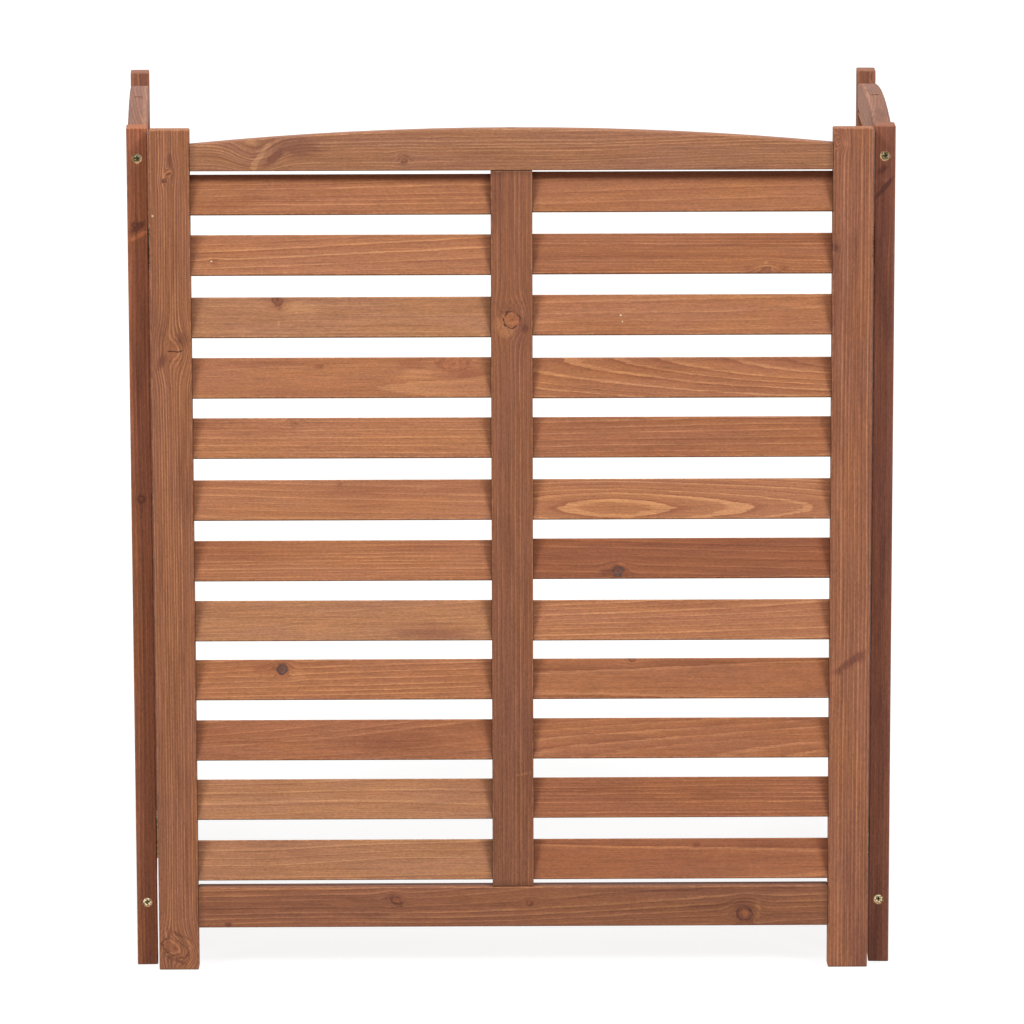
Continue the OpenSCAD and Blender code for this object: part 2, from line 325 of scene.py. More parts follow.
@dataclass(frozen=True)
class Knot(Mark):
    """A knot.

    Attributes:
        stretch: How much longer it is along the grain than across.
        dark: How dark it is, from 0, as light as the late wood, over red brown to 1, grey brown.
        solid: How much of a disc it is, from 0, a mere swirl, to 1.
        swirl: How many rings close round it.
        crack: How deep the crack across it is, from 0 to 1.
        rim: Strength of its dark outline.
        push: How far the lines give way to it; they close in on it where it is below 0.
        hollow: How much lighter its middle is than its outer rings.
        lean: How far it leans along the grain for each mm across.
        on_edge: True for a knot in the edge of the board.
    """

    stretch: float = 1.1
    dark: float = 0.4
    solid: float = 1.0
    swirl: float = 1.6
    crack: float = 0.0
    rim: float = 0.5
    push: float = 0.8
    hollow: float = 0.2
    lean: float = 0.0
    on_edge: bool = False


@dataclass(frozen=True)
class Patch(Mark):
    """A soft patch where a board took more of the stain, or less; a few patches are painted shade and
    painted sheen instead.

    Attributes:
        stretch: How much longer it is along the grain than across.
        strength: How much darker it is; below 0 it is paler.
        lean: How far it leans along the grain for each mm across.
        on_edge: True for a patch in the edge of the board.
    """

    stretch: float = 1.5
    strength: float = 0.7
    lean: float = 0.0
    on_edge: bool = False


@dataclass(frozen=True)
class Dot(Mark):
    """A dot of pale filler."""

    radius: float = 1.2


@dataclass(frozen=True)
class Grain:
    """How one board was grown and sawn.

    Attributes:
        tone: Its colours.
        seed: Number that makes its noise its own.
        cut: How it was sawn.
        ring: Width of a growth ring, in mm.
        off: How far the pith is from the usual place of the cut, across and upwards, in mm.
        drift: Slope of the pith under the face, in mm for each mm along.
        ridge: Where along the board the slope turns back, in mm; far off for an even slope.
        wave: How far the grain wanders, in mm.
        rough: How ragged the lines are, in mm.
        late: Width of the late wood in a ring, in mm.
        bold: How strongly the lines show, from 0 to 1.
        hair: How strongly the fine streaks between them show.
        broken: How much the lines come and go, from 0 to 1.
        fade: How much brighter the upper or right end is than the other, as a share; on the upright boards
            this is painted light, brighter upwards as more light falls from above.
        knots: Its knots.
        patches: Its darker and paler patches.
        dots: Its dots of filler.
    """

    tone: Tone
    seed: float
    cut: Cut = Cut.RIFT
    ring: float = 5.0
    off: tuple[float, float] = (0.0, 0.0)
    drift: float = 0.0
    ridge: float = FAR_RIDGE
    wave: float = 5.0
    rough: float = 1.6
    late: float = 1.2
    bold: float = 0.8
    hair: float = 0.3
    broken: float = 0.5
    fade: float = 0.0
    knots: tuple[Knot, ...] = ()
    patches: tuple[Patch, ...] = ()
    dots: tuple[Dot, ...] = ()


@dataclass(frozen=True)
class Bores:
    """Two counterbores in the edge of a board, at places along it, in mm."""

    first: float
    second: float
    radius: float = 6.25


@dataclass(frozen=True)
class Rows:
    """Rows of a bay of louvres: height of the top row over the middle, pitch and lean."""

    top: float
    pitch: float
    lean: float


def knot_group() -> NodeTree:
    """Group that bends the grain round a knot and adds its marks to those of the knots before it.

    The marks are three masks: the knot itself, the darkness in and round it, and its dark outline.
    The swell adds to the count of rings, so that lines close round the knot.
    """
    group = GroupSketch(
        "Knot",
        "Place:vector Bent:vector Marks:vector Swell Along Across Radius Stretch Dark Solid Swirl "
        "Crack Rim Push Hollow Lean",
        "Bent:vector Marks:vector Swell")
    given, step = group.given, group.step
    place, radius = given.place, given.radius
    along, across, _ = group.split(place)
    from_across = across - given.across
    from_along = (along - given.along - from_across * given.lean) / given.stretch
    wobble, _ = group.noise(group.vector("ADD", place, (31.0, 17.0, 5.0)), (8, 7, 9))
    off = (wobble - 0.5) * (radius * 0.6)
    share = (group.length(from_along, from_across) + off) / radius

    # The lines of the board give way to the knot, and some close round it
    reach = group.length(from_along / 2.4, from_across / 1.8) / radius
    pull = group.math("EXPONENT", reach * reach * -1.0)
    bent_along, bent_across, bent_through = group.split(given.bent)
    bent_across -= from_across * (pull * given.push)
    closed = group.math("EXPONENT", share * share * -0.55)

    # A disc with a few rings in it, a soft halo, and a dark outline with gaps, a pith and a crack
    heart = step(share, 1.03, 0.93) * given.solid
    halo = step(share, 2.4, 1.0) * 0.45
    rings = step(group.math("SINE", share * 19.0), -0.4, 0.9, 0.78, 1.0)
    inner = rings * step(share, 0.2, 0.68, 1.0 - given.hollow, 1.0) * heart
    gloom = given.dark * inner.at_least(halo)
    patchy, _ = group.noise(place, (6, 6, 6), 1.0)
    rim = step(share, 0.84, 0.97) * step(share, 1.12, 0.99) * step(patchy, 0.32, 0.55, 0.15, 1.0)
    pith = step(share, 0.2, 0.08) * given.solid * (given.dark * 0.5 + 0.3)
    crack = step(abs(from_along + off * 0.5), 1.15, 0.5) * step(share, 0.8, 0.55) * given.crack
    outline = (rim * given.rim).at_least(pith).at_least(crack)
    return group.give(
        Bent=group.join(bent_along, bent_across, bent_through),
        Marks=group.vector("MAXIMUM", given.marks, group.join(heart, gloom, outline)),
        Swell=closed * given.swirl + given.swell)


def patch_group() -> NodeTree:
    """Group that adds a soft patch to the patches before it."""
    group = GroupSketch("Stain patch", "Place:vector Patches Along Across Radius Stretch Strength Lean",
                        "Patches")
    given = group.given
    along, across, _ = group.split(given.place)
    from_across = across - given.across
    from_along = along - given.along - from_across * given.lean
    away = group.length(from_along / given.stretch, from_across) / given.radius
    ragged, _ = group.noise(given.place, (20, 5, 5), 3.0, 0.6)
    patch = group.step(away + (ragged - 0.5), 1.25, 0.2) * given.strength
    return group.give(Patches=given.patches + patch)


def dot_group() -> NodeTree:
    """Group that adds a dot of filler to the mask of the dots before it."""
    group = GroupSketch("Filler dot", "Place:vector Dots Along Across Radius", "Dots")
    given = group.given
    along, across, _ = group.split(given.place)
    away = group.length(along - given.along, across - given.across)
    dot = group.step(away, given.radius + 0.4, given.radius - 0.4)
    return group.give(Dots=given.dots.at_least(dot))


def rings_group() -> NodeTree:
    """Group that cuts a board from a log of growth rings and finds its thin lines of late wood."""
    group = GroupSketch(
        "Growth rings",
        "Place:vector Seed Ring Pith:vector Drift Ridge Wave Rough Late_Width Broken Swell",
        "Late Soak Glow")
    given, step = group.given, group.step
    shift = given.seed * 137.0
    own = group.vector("ADD", given.place, group.all_of(shift))
    along, across, through = group.split(given.place)
    pith_across, pith_depth, _ = group.split(given.pith)

    # Distance from a pith that wanders as the tree grew, and may dip under the face and rise again
    _, wander = group.noise(own, WANDER_CELL, 1.0)
    wander_x, wander_y, _ = group.split(wander)
    way = group.length(along - given.ridge, 30.0) - abs(given.ridge)
    side = across - pith_across + (wander_x - 0.5) * given.wave
    below = through - pith_depth + ((wander_y - 0.5) * (given.wave * 1.6) + way * given.drift)
    ragged, _ = group.noise(own, RAGGED_CELL, 3.0, 0.62)
    radius = group.length(side, below) + (ragged - 0.5) * given.rough

    # Good and poor years make wide and narrow rings
    turn = radius / given.ring + given.swell
    years, _ = group.noise(group.join(turn, shift, 0.0), (2.4, 1, 1), 1.0)
    turn += years * 1.3
    year = group.math("FLOOR", turn)
    season = turn - year
    luck, other = group.random(year + shift)
    other_luck, _, _ = group.split(other)
    width = given.late_width * step(other_luck, 0.0, 1.0, 0.65, 1.5) / given.ring
    start = 1.0 - group.math("MINIMUM", width, 0.5)
    late = step(season, start - 0.05, start + 0.05) * step(season, 1.0, 0.98)
    apart = group.join(0.0, year * 40.0, 0.0)
    patch, _ = group.noise(group.vector("ADD", own, apart), BROKEN_CELL)
    strength = step(luck, 0.0, 0.8, 0.45, 1.0) * step(patch, 0.38, 0.58, 1.0 - given.broken, 1.0)
    return group.give(Late=late * strength, Soak=step(season, 0.3, 0.0) * strength,
                      Glow=step(season, 0.3, start) * strength)


def softwood_group() -> NodeTree:
    """Group that colours a stained softwood board from its lines, its marks, its rubbed arrises and its
    painted light: a sheen on its end grain, shade at its joints and a brighter upper end.
    """
    group = GroupSketch(
        "Stained softwood",
        "Place:vector Seed Late Soak Glow Bold Hair Fade Body:colour Line:colour Deep:colour "
        "Marks:vector Patches Dots Worn End Seam Bare",
        "Colour:colour Roughness Height")
    given, step, blend = group.given, group.step, group.blend
    own = group.vector("ADD", given.place, group.all_of(given.seed * 91.0))
    late, line = given.late, given.line
    heart, gloom, outline = group.split(given.marks)

    # Fibres, pores and the uneven take of the stain, with the patches, a few of which are painted shade and
    # painted sheen
    fibre, _ = group.noise(own, FIBRE_CELL, 3.0, 0.65)
    pore, _ = group.noise(own, PORE_CELL, 2.0, 0.6)
    streak, _ = group.noise(own, STREAK_CELL)
    hair, _ = group.noise(own, HAIR_CELL, 2.0, 0.6)
    speck, _ = group.noise(own, SPECK_CELL, 1.0)
    _, cloud = group.noise(own, CLOUD_CELL, 3.0, 0.55)
    thick, hue, light = group.split(cloud)
    colour = blend(given.glow * 0.16, given.body, line)
    colour = blend(late * given.bold, colour, line)
    colour = blend(group.math("MULTIPLY", given.patches, -0.6, clamp=True), colour, line)
    shade = given.soak * (given.bold * 0.9) + given.patches.at_least(0.0)
    shade = shade + step(streak, 0.5, 0.72, 0.0, 0.4) + step(thick, 0.48, 0.74, 0.0, 0.5)
    shade = group.math("ADD", shade, gloom, clamp=True)
    colour = blend(shade * (1.0 - heart), colour, given.deep)
    colour = blend(1.0, colour, blend(step(hue, 0.34, 0.66), ROSY, GOLDEN), "MULTIPLY")

    # Knots, rubbed arrises that are partly a painted highlight, a painted sheen on the end grain, painted
    # shade at the joints, filler and the bare wood of the counterbores
    knot = blend(step(gloom, 0.1, 0.6), KNOT_LIGHT, KNOT_RED)
    knot = blend(step(gloom, 0.6, 0.95), knot, KNOT_DARK)
    mottle, _ = group.noise(own, MOTTLE_CELL, 3.0, 0.6)
    knot = blend(1.0, knot, group.all_of(step(mottle, 0.35, 0.65, 0.74, 1.24)), "MULTIPLY")
    chipped, _ = group.noise(own, CHIP_CELL)
    for factor, layer in (
            (heart * (gloom * 0.5 + 0.5), knot), (outline, KNOT_RIM),
            (given.worn * step(chipped, 0.42, 0.65, 0.12, 0.75), line), (given.end * 0.45, line),
            (given.seam * 0.8, SHADOW_LINE), (given.bare, BARE_WOOD), (given.dots, FILLER)):
        colour = blend(factor, colour, layer)
    level = fibre * 0.8 + 0.6 + (pore * 0.45 - 0.225) + (speck * 0.6 - 0.3)
    # The slope added here is painted light on upright boards: the upper end is brighter, as more light
    # falls there from above
    level = level + step(light, 0.5, 0.3, 0.0, 0.07) + (hair - 0.5) * given.hair + given.fade

    rough = late * -0.1 + 0.62 + fibre * 0.2 + given.end * 0.14
    height = late * 0.08 + fibre * 0.12 + pore * 0.05 + outline * -0.35 + heart * 0.1
    return group.give(Colour=blend(1.0, colour, group.all_of(level), "MULTIPLY"),
                      Roughness=rough + outline * -0.1, Height=height * MM)


def wear_and_light_group() -> NodeTree:
    """Group that marks the arrises of a board of a given size, rubbed and partly a painted highlight, its
    sawn ends, which get a painted sheen, and its joints, which get painted shade.
    """
    group = GroupSketch("Edge wear", "Place:vector Half_Size:vector Joint", "Worn End Seam")
    given, step = group.given, group.step
    parts = group.split(group.vector("SUBTRACT", given.half_size, group.vector("ABSOLUTE", given.place)))
    near = [step(part, 2.2, 0.0) for part in parts]
    worn = (near[0] * near[1]).at_least(near[1] * near[2]).at_least(near[0] * near[2])
    # Painted shade at the joint: a dark line where the board meets the next, and a softer shade falling off
    # over 11 mm from it
    from_joint = parts[0] - given.joint
    soft = step(from_joint, 11.0, 0.0, 0.0, 0.45)
    # Worn marks the rubbed arrises, partly a painted highlight; End marks the end grain, which gets a
    # painted sheen; Seam is the painted shade at the joint
    return group.give(Worn=step(worn, 0.02, 0.4), End=step(parts[0], 0.7, 0.25),
                      Seam=step(from_joint, 1.6, 0.4).at_least(soft))


def counterbore_group() -> NodeTree:
    """Group that marks the bare wood in and round two counterbores in the edge of a board."""
    group = GroupSketch("Bare counterbores", "Place:vector First Second Radius Half_Width", "Bare")
    given = group.given
    along, across, through = group.split(given.place)
    chip, _ = group.noise(given.place, (2.4, 2.4, 2.4))
    rim = given.radius + group.step(chip, 0.3, 0.7, -0.3, 0.3)
    first, second = (group.step(group.length(along - centre, through), rim + 0.25, rim)
                     for centre in (given.first, given.second))
    at_edge = group.step(given.half_width - abs(across), 5.0, 4.0)
    return group.give(Bare=first.at_least(second) * at_edge * 0.9)


def louvre_rows_group() -> NodeTree:
    """Group that finds, in a bay of louvres, the row of a point and its place on that louvre."""
    group = GroupSketch("Louvre rows", "Place:vector Top_Row Pitch Lean", "Place:vector Row")
    given = group.given
    along, up, out = group.split(given.place)
    row = group.math("ROUND", (given.top_row - up) / given.pitch)
    up = up - given.top_row + row * given.pitch
    sine, cosine = group.math("SINE", given.lean), group.math("COSINE", given.lean)
    return group.give(Place=group.join(along, up * cosine - out * sine, up * sine + out * cosine), Row=row)


def plating_group() -> NodeTree:
    """Group that gives yellow zinc plating its straw, olive and rose tints and its scratches, darkens it
    towards a dark brown, and paints shade into the cross recesses of the screws.
    """
    group = GroupSketch("Yellow plating", "Place:vector Age Sunk", "Colour:colour Roughness Height")
    given, step = group.given, group.step
    _, clouds = group.noise(given.place, (2.4, 2.4, 2.4))
    first, second, _ = group.split(clouds)
    scratch, _ = group.noise(given.place, (0.5, 3.0, 0.5), 3.0, 0.7)
    straw, olive_brown, rose, olive = (
        srgb(244, 230, 190), srgb(118, 102, 58), srgb(236, 182, 172), srgb(176, 188, 118))
    # dark is the painted shade of the cross recesses, and dull the dark brown that the plating darkens
    # towards, which on the hinges is painted shade
    bright, dark_cast, dark = srgb(206, 196, 168), srgb(70, 56, 44), srgb(34, 26, 12)
    colour = group.blend(step(first, 0.4, 0.58), straw, olive_brown)
    for factor, tint in ((step(second, 0.54, 0.66, 0.0, 0.6), rose),
                         (step(second, 0.46, 0.34, 0.0, 0.6), olive),
                         (step(scratch, 0.6, 0.76, 0.0, 0.5), bright),
                         (given.age, dark_cast), (given.sunk * 0.9, dark)):
        colour = group.blend(factor, colour, tint)
    return group.give(Colour=colour, Roughness=step((first + scratch) * 0.5, 0.3, 0.7, 0.3, 0.5),
                      Height=scratch * (0.03 * MM))


class Workshop:
    """Holds the shared node groups and makes the finished materials."""

    def __init__(self) -> None:
        """Builds each shared group once."""
        self.knot = knot_group()
        self.patch = patch_group()
        self.dot = dot_group()
        self.rings = rings_group()
        self.softwood = softwood_group()
        self.wear = wear_and_light_group()
        self.counterbores = counterbore_group()
        self.rows = louvre_rows_group()
        self.plating = plating_group()

    def finish(self, sketch: ShaderSketch, parts: dict[str, Signal], metallic: float,
               specular: float) -> None:
        """Adds the surface shader of a material, fed with a Colour, a Roughness and a Height."""
        bump = sketch.node("Bump")
        for name, value in (("Strength", 1.0), ("Distance", 1.0), ("Height", parts["Height"])):
            sketch.feed(bump.inputs[name], value)
        surface = sketch.node("BsdfPrincipled")
        for name, value in (("Base Color", parts["Colour"]), ("Roughness", parts["Roughness"]),
                            ("Metallic", metallic), ("Specular IOR Level", specular),
                            ("Normal", bump.outputs[0])):
            sketch.feed(surface.inputs[name], value)
        sketch.show("OutputMaterial", surface.outputs[0])

    def place_on(self, sketch: ShaderSketch, centre: Vector, axes: Matrix) -> Signal:
        """Place on a board in millimetres, along, across and through it, by its middle and directions."""
        coordinates = sketch.node("TexCoord")
        mapping = sketch.node("Mapping", vector_type="TEXTURE")
        sketch.feed(mapping.inputs["Vector"], coordinates.outputs["Object"])
        for name, value in (("Location", centre), ("Rotation", axes.to_euler()), ("Scale", (MM, MM, MM))):
            mapping.inputs[name].default_value = value
        return Signal(sketch, mapping.outputs[0])

    def add(self, sketch: ShaderSketch, tree: NodeTree, mark: Union[Mark, Bores],
            **others: Value) -> dict[str, Signal]:
        """Places the group of a mark, whose fields are inputs of the group beside the others."""
        names = [part.name for part in fields(mark) if part.name != "on_edge"]
        return sketch.group(tree, **others, **{name.title(): getattr(mark, name) for name in names})

    def mark_knots(self, sketch: ShaderSketch, place: Signal,
                   knots: Sequence[Knot]) -> tuple[Signal, Value, Value]:
        """Bends the grain round the knots of a board.

        Args:
            sketch: The material's tree.
            place: Place on the board.
            knots: The knots.

        Returns:
            The place in the bent grain, the masks of the knots, and the rings that close round them.
        """
        bent, marks, swell = place, (0.0, 0.0, 0.0), 0.0
        for knot in knots:
            turned = sketch.swap if knot.on_edge else (lambda vector: vector)
            found = self.add(sketch, self.knot, knot, Place=turned(place), Bent=turned(bent), Marks=marks,
                             Swell=swell)
            bent, marks, swell = turned(found["Bent"]), found["Marks"], found["Swell"]
        return bent, marks, swell

    def board(self, node: str, grain: Grain, centre: Vector, axes: Matrix, size: Vector, joint: float,
              bores: Optional[Bores] = None, rows: Optional[Rows] = None) -> Material:
        """Material of one board, or of one bay of louvres.

        Args:
            node: Name of the node of the board or bay.
            grain: How the board was grown and sawn.
            centre: Middle of the board or bay.
            axes: Directions along, across and through the board, as columns.
            size: Length, width and thickness of the board, in mm.
            joint: How far its ends go into the boards that hold it, in mm.
            bores: Counterbores in the edge of the board.
            rows: The rows of the bay, if the material is for a bay.

        Returns:
            The material.
        """
        material = bpy.data.materials.new("stained " + node)
        sketch = sketch_on(material)
        place = self.place_on(sketch, centre, axes)
        seed: Value = grain.seed
        drift: Value = grain.drift
        body: Value = grain.tone.body
        pith: Value = (Vector(grain.cut.value) + Vector(grain.off)).to_3d()
        if rows:
            found = sketch.group(self.rows, Place=place, Top_Row=rows.top, Pitch=rows.pitch, Lean=rows.lean)
            place = found["Place"]
            seed = found["Row"] * ROW_SEEDS + grain.seed
            luck, choices = sketch.random(seed)
            pith_across, pith_depth, drift = (
                sketch.step(choice, 0.0, 1.0, *span)
                for choice, span in zip(sketch.split(choices), ROW_SPANS))
            pith = sketch.join(pith_across, pith_depth, 0.0)
            body = sketch.blend(luck, CHESTNUT.body, grain.tone.body)
        bent, marks, swell = self.mark_knots(sketch, place, grain.knots)
        patches: Value = 0.0
        for patch in grain.patches:
            turned = sketch.swap(place) if patch.on_edge else place
            patches = self.add(sketch, self.patch, patch, Place=turned, Patches=patches)["Patches"]
        dots: Value = 0.0
        for dot in grain.dots:
            dots = self.add(sketch, self.dot, dot, Place=place, Dots=dots)["Dots"]
        edges = sketch.group(self.wear, Place=place, Half_Size=tuple(size / 2), Joint=joint)
        bare: Value = 0.0
        if bores:
            bare = self.add(sketch, self.counterbores, bores, Place=place, Half_Width=size.y / 2)["Bare"]
        lines = sketch.group(self.rings, Place=bent, Seed=seed, Ring=grain.ring, Pith=pith, Drift=drift,
                             Ridge=grain.ridge, Wave=grain.wave, Rough=grain.rough,
                             Late_Width=grain.late, Broken=grain.broken, Swell=swell)
        # A brightness slope along the board; on the upright boards it is painted light, brighter upwards as
        # more light falls from above
        fade = sketch.split(place)[0] * (grain.fade / size.x)
        wood = sketch.group(self.softwood, Place=bent, Seed=seed, Bold=grain.bold, Hair=grain.hair,
                            Fade=fade, Body=body, Line=grain.tone.line, Deep=grain.tone.deep,
                            Marks=marks, Patches=patches, Dots=dots, Bare=bare, **lines, **edges)
        self.finish(sketch, wood, 0.0, WOOD_SPECULAR)
        return material

    def metal(self, name: str, age: float, centre: Optional[Vector] = None, axes: Optional[Matrix] = None,
              head: float = 0.0) -> Material:
        """Material of the plated screws and hinges, bright or darkened.

        Args:
            name: Name of the material.
            age: How far the plating darkens towards a dark brown, from 0 to 1; on the hinges this is
                painted shade.
            centre: Middle of a set of screws whose heads look both ways, and whose upper ones are darker.
            axes: Directions of the screws, as columns, the first along them.
            head: How far the faces of the heads are from the middle, in mm.

        Returns:
            The material.
        """
        material = bpy.data.materials.new(name)
        sketch = sketch_on(material)
        sunk: Value = 0.0
        dark_cast: Value = age
        if centre is None or axes is None:
            coordinates = sketch.node("TexCoord")
            place = sketch.vector("DIVIDE", Signal(sketch, coordinates.outputs["Object"]), (MM, MM, MM))
        else:
            place = self.place_on(sketch, centre, axes)
            along, up, _ = sketch.split(place)
            dark_cast = sketch.step(up, DARKEN_FROM, DARKEN_TO, age, age + DARKEN_BY)
            # Painted shade in the cross recesses, from their edge down to their floor under the faces of
            # the heads
            out = abs(along)
            sunk = sketch.step(out, head - RECESS_EDGE, head - RECESS_START)
            sunk = sunk * sketch.step(out, head - RECESS_FLOOR, head - RECESS_END)
        plating = sketch.group(self.plating, Place=place, Age=dark_cast, Sunk=sunk)
        self.finish(sketch, plating, 1.0, METAL_SPECULAR)
        return material


def dress(node: str, material: Material) -> None:
    """Gives a node of the model a finish and reports it."""
    mesh = frame["nodes"][node].data
    mesh.materials.clear()
    mesh.materials.append(material)
    LOG.info("%s: dressed with %s", node, material.name)


def centre_of(node: str) -> Vector:
    """Middle of a node's box, in metres."""
    low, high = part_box(node)
    return (low + high) / 2


def size_of(node: str) -> Vector:
    """Size of a node's box, in millimetres."""
    low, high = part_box(node)
    return (high - low) / MM


@dataclass
class Panel:
    """One framed panel, which dresses its boards and screws.

    Attributes:
        prefix: Start of its nodes' names.
        along: Direction across the panel, to the right of someone who faces its outer face.
        grains: Grain of its stiles, rails and mullion by the end of their nodes' names.
        shop: Maker of the materials.
    """

    UP = Vector((0, 0, 1))
    SAMPLES = {"stile": "front_left_stile", "rail": "front_bottom_rail", "mullion": "front_mullion"}
    # Heights of the frame screws over the middle of a stile, in mm
    BORES = Bores(497.0, -453.5)
    # Lean of the louvres from upright, their size, and how far their ends go into the frame, in mm
    LEAN = math.radians(18)
    LOUVRE_WIDTH, LOUVRE_THICKNESS, LOUVRE_JOINT = 51.0, 7.0, 7.85

    prefix: str
    along: Vector
    grains: dict[str, Grain]
    shop: Workshop

    def axes(self, grain: Vector, across: Vector) -> Matrix:
        """Directions along, across and through a board, as columns."""
        return Matrix((grain, across, grain.cross(across))).transposed()

    def dress_boards(self) -> None:
        """Dresses the stiles, the two rails and the mullion between them."""
        for end, grain in self.grains.items():
            node = self.prefix + end
            kind = end.rpartition("_")[2]
            size = size_of(self.SAMPLES[kind])
            if kind == "rail":
                axes, board = self.axes(self.along, self.UP), Vector((size.x, size.z, size.y))
            else:
                axes, board = self.axes(self.UP, self.along), Vector((size.z, size.x, size.y))
            joint, bores = (NO_JOINT, self.BORES) if kind == "stile" else (0.0, None)
            dress(node, self.shop.board(node, grain, centre_of(node), axes, board, joint, bores))

    def dress_screws(self) -> None:
        """Dresses the frame screws, whose cross recesses get painted shade."""
        node = self.prefix + "frame_screws"
        head, axes = size_of("front_frame_screws").x / 2, self.axes(self.along, self.UP)
        dress(node, self.shop.metal("plated " + node, 0.0, centre_of(node), axes, head))

    def dress_louvres(self, node: str, grain: Grain, across: Vector, rows: Optional[Rows] = None) -> None:
        """Dresses a louvre, by the direction across it, or a bay of louvres, by its upward direction."""
        size = Vector((size_of("front_left_louvre_01").x, self.LOUVRE_WIDTH, self.LOUVRE_THICKNESS))
        axes = self.axes(self.along, across)
        dress(node, self.shop.board(node, grain, centre_of(node), axes, size, self.LOUVRE_JOINT, rows=rows))

    def dress_each(self, bay: str, grains: Sequence[Grain]) -> None:
        """Dresses the louvres of a bay, left or right, that are nodes of their own, from the top."""
        across = self.UP * math.cos(self.LEAN) + self.UP.cross(self.along) * math.sin(self.LEAN)
        for row, grain in enumerate(grains, 1):
            self.dress_louvres(f"{self.prefix}{bay}_louvre_{row:02d}", grain, across)

    def dress_bays(self) -> None:
        """Dresses the bays whose louvres share one node."""
        top, low = (centre_of(f"front_left_louvre_{row:02d}").z / MM for row in (1, len(LEFT_LOUVRES)))
        for end, grain in WING_BAYS.items():
            node = self.prefix + end
            pitch = (top - low) / (len(LEFT_LOUVRES) - 1)
            rows = Rows(top - centre_of(node).z / MM, pitch, self.LEAN)
            self.dress_louvres(node, grain, self.UP, rows)


@dataclass(frozen=True)
class Lamp:
    """A soft lamp far away.

    Attributes:
        name: Name of the lamp.
        azimuth: Degrees to the right of the camera's side.
        elevation: Degrees over the ground.
        strength: Light on a surface that faces it.
        spread: Width of the lamp as seen from the screen, in degrees.
    """

    name: str
    azimuth: float
    elevation: float
    strength: float
    spread: float

    def build(self) -> None:
        """Adds the lamp to the scene."""
        light = bpy.data.lights.new(self.name, "SUN")
        light.energy = self.strength
        light.angle = math.radians(self.spread)
        made = bpy.data.objects.new(self.name, light)
        bpy.context.scene.collection.objects.link(made)
        made.rotation_euler = (math.radians(90 - self.elevation), 0, math.radians(self.azimuth))


class Studio:
    """Floor, lamps, background and camera."""

    LAMPS = (Lamp("key", 44, 38, 1.5, 20), Lamp("fill", -44, 38, 1.3, 20),
             Lamp("rear right", 150, 40, 0.3, 40), Lamp("rear left", -150, 40, 0.3, 40))
    AMBIENT = 0.38
    FLOOR_SIZE = 60.0
    FLOOR_COLOUR = (0.28, 0.28, 0.28, 1.0)
    FLOOR_GLOW = 0.84
    # Place of the camera from the middle of the front panel's face on the ground, in mm
    CAMERA = Vector((-49.4, -6599.6, 1677.3))
    # Its yaw, pitch and roll, in degrees
    TURNS = ((-0.4257, "Z"), (90 - 9.367, "X"), (-0.1435, "Z"))
    LENS = {"sensor_width": 36.0, "lens": 187.48, "clip_end": 200.0}

    def build_floor(self) -> None:
        """Makes the pale floor, which keeps the shadow of the screen."""
        bpy.ops.object.select_all(action="DESELECT")
        bpy.ops.mesh.primitive_plane_add(size=self.FLOOR_SIZE, location=(0, 0, 0))
        floor = bpy.context.object
        floor.name = "floor"
        material = bpy.data.materials.new("pale floor")
        sketch = sketch_on(material)
        diffuse = sketch.node("BsdfDiffuse")
        diffuse.inputs["Color"].default_value = self.FLOOR_COLOUR
        glow = sketch.node("Emission")
        sketch.feed(glow.inputs["Strength"], self.seen(sketch) * self.FLOOR_GLOW)
        both = sketch.run(sketch.node("AddShader"), (diffuse.outputs[0], glow.outputs[0]))
        sketch.show("OutputMaterial", both)
        floor.data.materials.append(material)

    def seen(self, sketch: ShaderSketch) -> Signal:
        """1 for what the camera sees, straight or in gloss or glass."""
        path = sketch.node("LightPath")
        gloss = sketch.math("MAXIMUM", path.outputs["Is Glossy Ray"], path.outputs["Is Transmission Ray"])
        return sketch.math("MAXIMUM", path.outputs["Is Camera Ray"], gloss)

    def build_world(self) -> None:
        """Makes a background that is white to the eye and a soft light all round."""
        world = bpy.data.worlds.new("white studio")
        bpy.context.scene.world = world
        sketch = sketch_on(world)
        sky = sketch.node("Background")
        sky.inputs["Color"].default_value = (1, 1, 1, 1)
        sketch.feed(sky.inputs["Strength"], self.seen(sketch) * (1 - self.AMBIENT) + self.AMBIENT)
        sketch.show("OutputWorld", sky.outputs[0])

    def add_camera(self) -> None:
        """Adds the camera at the photograph's view."""
        front = Vector((centre_of("front_mullion").x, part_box("front_left_stile")[0].y, 0))
        turn = Matrix.Identity(4)
        for angle, axis in self.TURNS:
            turn = turn @ Matrix.Rotation(math.radians(angle), 4, axis)
        lens = bpy.data.cameras.new("camera")
        for name, value in self.LENS.items():
            setattr(lens, name, value)
        camera = bpy.data.objects.new("camera", lens)
        bpy.context.scene.collection.objects.link(camera)
        camera.matrix_world = Matrix.Translation(front + self.CAMERA * MM) @ turn
        bpy.context.scene.camera = camera

    def build(self) -> None:
        """Builds the whole studio."""
        self.build_floor()
        self.build_world()
        for lamp in self.LAMPS:
            lamp.build()
        self.add_camera()
        bpy.context.scene.view_settings.view_transform = "Standard"


